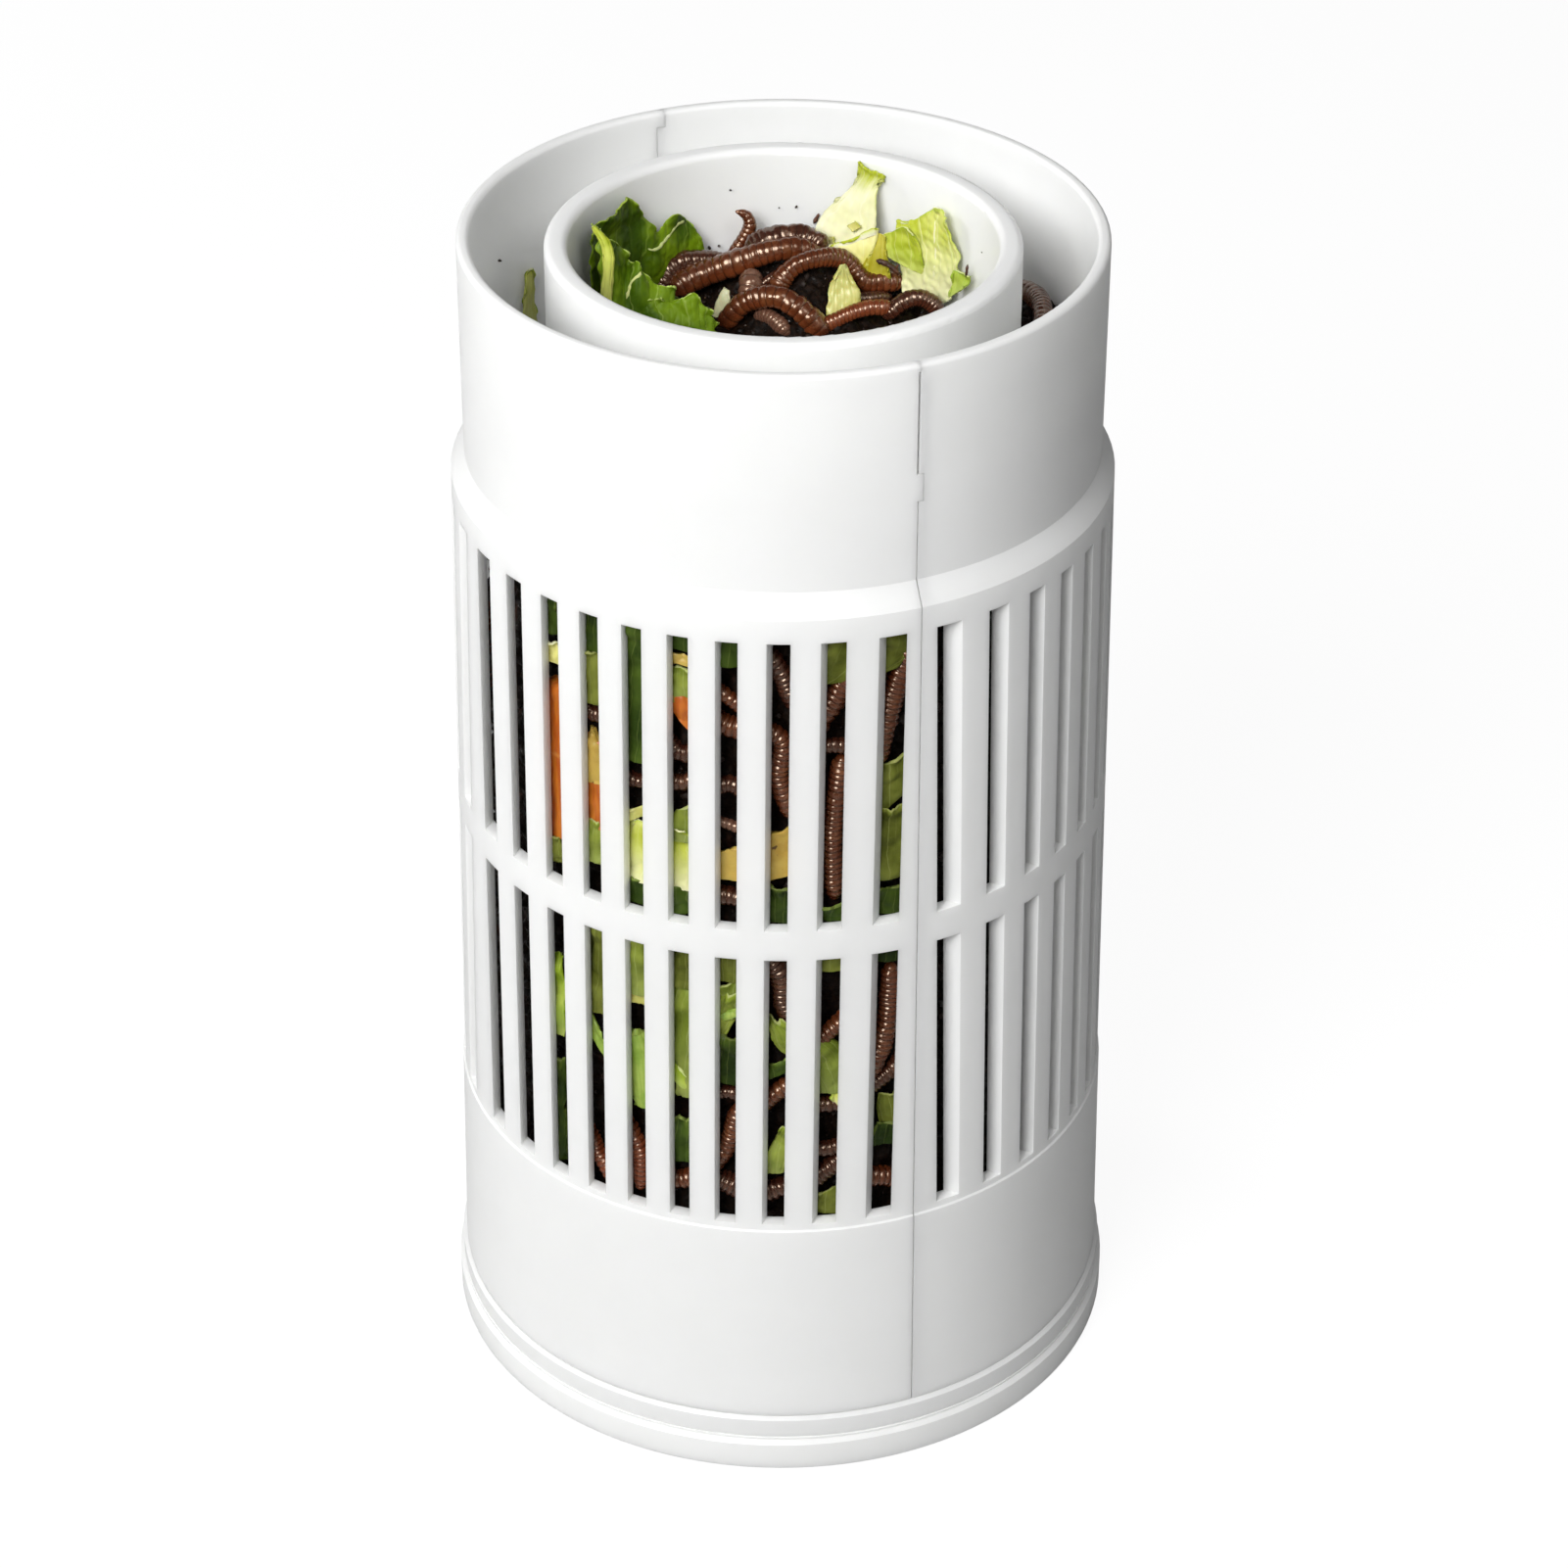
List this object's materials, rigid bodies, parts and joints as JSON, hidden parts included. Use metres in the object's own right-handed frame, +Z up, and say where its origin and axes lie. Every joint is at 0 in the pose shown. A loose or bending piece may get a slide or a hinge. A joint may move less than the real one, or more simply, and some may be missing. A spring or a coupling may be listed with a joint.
{
  "type": "garden wormery",
  "caption": "Round slotted worm composter: two lapped half shells, stepped base ring, drain floor and a lift-out feed tube with worms, bedding and scraps.",
  "frame": {"origin": "centre of the foot, on the surface the wormery stands on", "axes": "+Z up along the round body's axis, -Y to the front, +X to the right"},
  "size_m": [0.1684, 0.1684, 0.2982],
  "materials": {
    "shell_plastic": "satin white moulded plastic",
    "tube_plastic": "satin white pipe plastic",
    "bedding": "damp dark compost",
    "worm_skin": "wet ringed skin",
    "worm_skin_red": "wet ringed skin, redder",
    "worm_skin_grey": "wet ringed skin, paler",
    "carrot": "cut carrot",
    "peel": "yellow peel",
    "pale_leaf": "pale lettuce rib",
    "light_leaf": "light green lettuce",
    "dark_leaf": "dark green lettuce"
  },
  "bodies": {
    "housing": {"base_ring": "shell_plastic", "carrot_stick_long": "carrot", "carrot_stick_rear": "carrot", "carrot_stick_short": "carrot", "dark_leaf_left": "dark_leaf", "dark_leaf_upper": "dark_leaf", "drain_floor": "shell_plastic", "grass_blades": "dark_leaf", "green_leaf_foot": "dark_leaf", "green_leaf_lower": "dark_leaf", "green_leaf_middle": "dark_leaf", "green_leaf_rear": "dark_leaf", "green_leaf_right": "dark_leaf", "green_leaf_side": "dark_leaf", "green_leaf_upper": "dark_leaf", "leaf_blade": "dark_leaf", "leaf_tip_lower": "light_leaf", "light_leaf_lower": "light_leaf", "pale_leaf_upper": "pale_leaf", "pale_stalk": "pale_leaf", "ring_bedding": "bedding", "shell_front_half": "shell_plastic", "shell_rear_half": "shell_plastic", "worm_arched": "worm_skin", "worm_by_peel": "worm_skin", "worm_hooked": "worm_skin", "worm_left": "worm_skin", "worm_long_lower": "worm_skin", "worm_low_left": "worm_skin", "worm_low_middle": "worm_skin", "worm_low_right": "worm_skin", "worm_mid_lower": "worm_skin", "worm_rear_lower": "worm_skin", "worm_rear_upper": "worm_skin", "worm_right": "worm_skin", "worm_upright": "worm_skin", "yellow_peel_rear": "peel", "yellow_peel_upper": "peel"},
    "feed_tube_set": {"feed_tube": "tube_plastic", "lettuce_dark_back": "dark_leaf", "lettuce_dark_side": "dark_leaf", "lettuce_light": "light_leaf", "lettuce_pale": "pale_leaf", "pale_chip": "pale_leaf", "tube_bedding": "bedding", "tube_grid": "tube_plastic", "worm_back": "worm_skin", "worm_bridge": "worm_skin", "worm_fat": "worm_skin", "worm_front_arch": "worm_skin", "worm_pale": "worm_skin_grey", "worm_red": "worm_skin_red", "worm_tail": "worm_skin"}
  },
  "joints": [
    {"name": "feed_lift", "type": "slide", "parent": "housing", "child": "feed_tube_set", "axis": [0, 0, 1], "range_m": [0, 0.3]}
  ]
}
